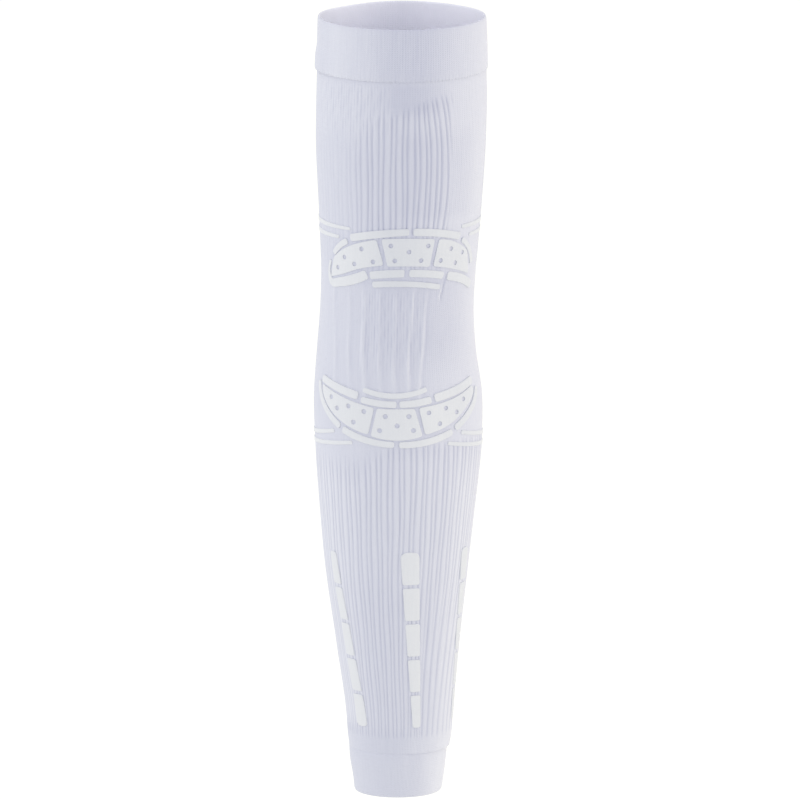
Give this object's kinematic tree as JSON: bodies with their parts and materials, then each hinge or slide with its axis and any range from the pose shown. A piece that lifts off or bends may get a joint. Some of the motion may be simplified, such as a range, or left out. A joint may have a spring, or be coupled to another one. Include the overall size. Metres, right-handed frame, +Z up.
{
  "type": "arm compression sleeve",
  "caption": "Knitted arm compression sleeve, ribbed on upper arm and forearm, with a folded top band, a plain wrist cuff and raised pads above and below the elbow and down the forearm.",
  "frame": {"origin": "centre of the upper opening, in the plane of its rim", "axes": "+Z up the arm from the wrist to the shoulder, -Y the side with the elbow pads, +X the right of that side as it is looked at"},
  "size_m": [0.0932, 0.0938, 0.42],
  "materials": {
    "knit": "matt ribbed knit, pale lavender white",
    "pad": "matt dense knit, off-white"
  },
  "bodies": {
    "root": {"upper_band": "knit", "sleeve_body": "knit", "wrist_cuff": "knit", "upper_top_left": "pad", "upper_top_right": "pad", "upper_end_left": "pad", "upper_end_right": "pad", "upper_base_left": "pad", "upper_base_mid_left": "pad", "upper_base_mid_right": "pad", "upper_base_right": "pad", "upper_base_low": "pad", "lower_brow": "pad", "lower_top_left": "pad", "lower_top_mid_left": "pad", "lower_top_mid_right": "pad", "lower_top_right": "pad", "lower_outer_left": "pad", "lower_base_left": "pad", "lower_base_right": "pad", "lower_outer_right": "pad", "wrap_stripe_1": "pad", "wrap_stripe_2": "pad", "wrap_stripe_3": "pad", "wrap_stripe_4": "pad", "upper_pad_left": "pad", "upper_pad_middle": "pad", "upper_pad_right": "pad", "lower_pad_left": "pad", "lower_pad_middle": "pad", "lower_pad_right": "pad", "column_left_1": "pad", "column_left_2": "pad", "column_left_3": "pad", "column_left_4": "pad", "column_left_5": "pad", "column_middle_1": "pad", "column_middle_2": "pad", "column_middle_3": "pad", "column_middle_4": "pad", "column_middle_5": "pad", "column_right_1": "pad", "column_right_2": "pad", "column_right_3": "pad", "column_right_4": "pad", "column_right_5": "pad"}
  },
  "joints": []
}
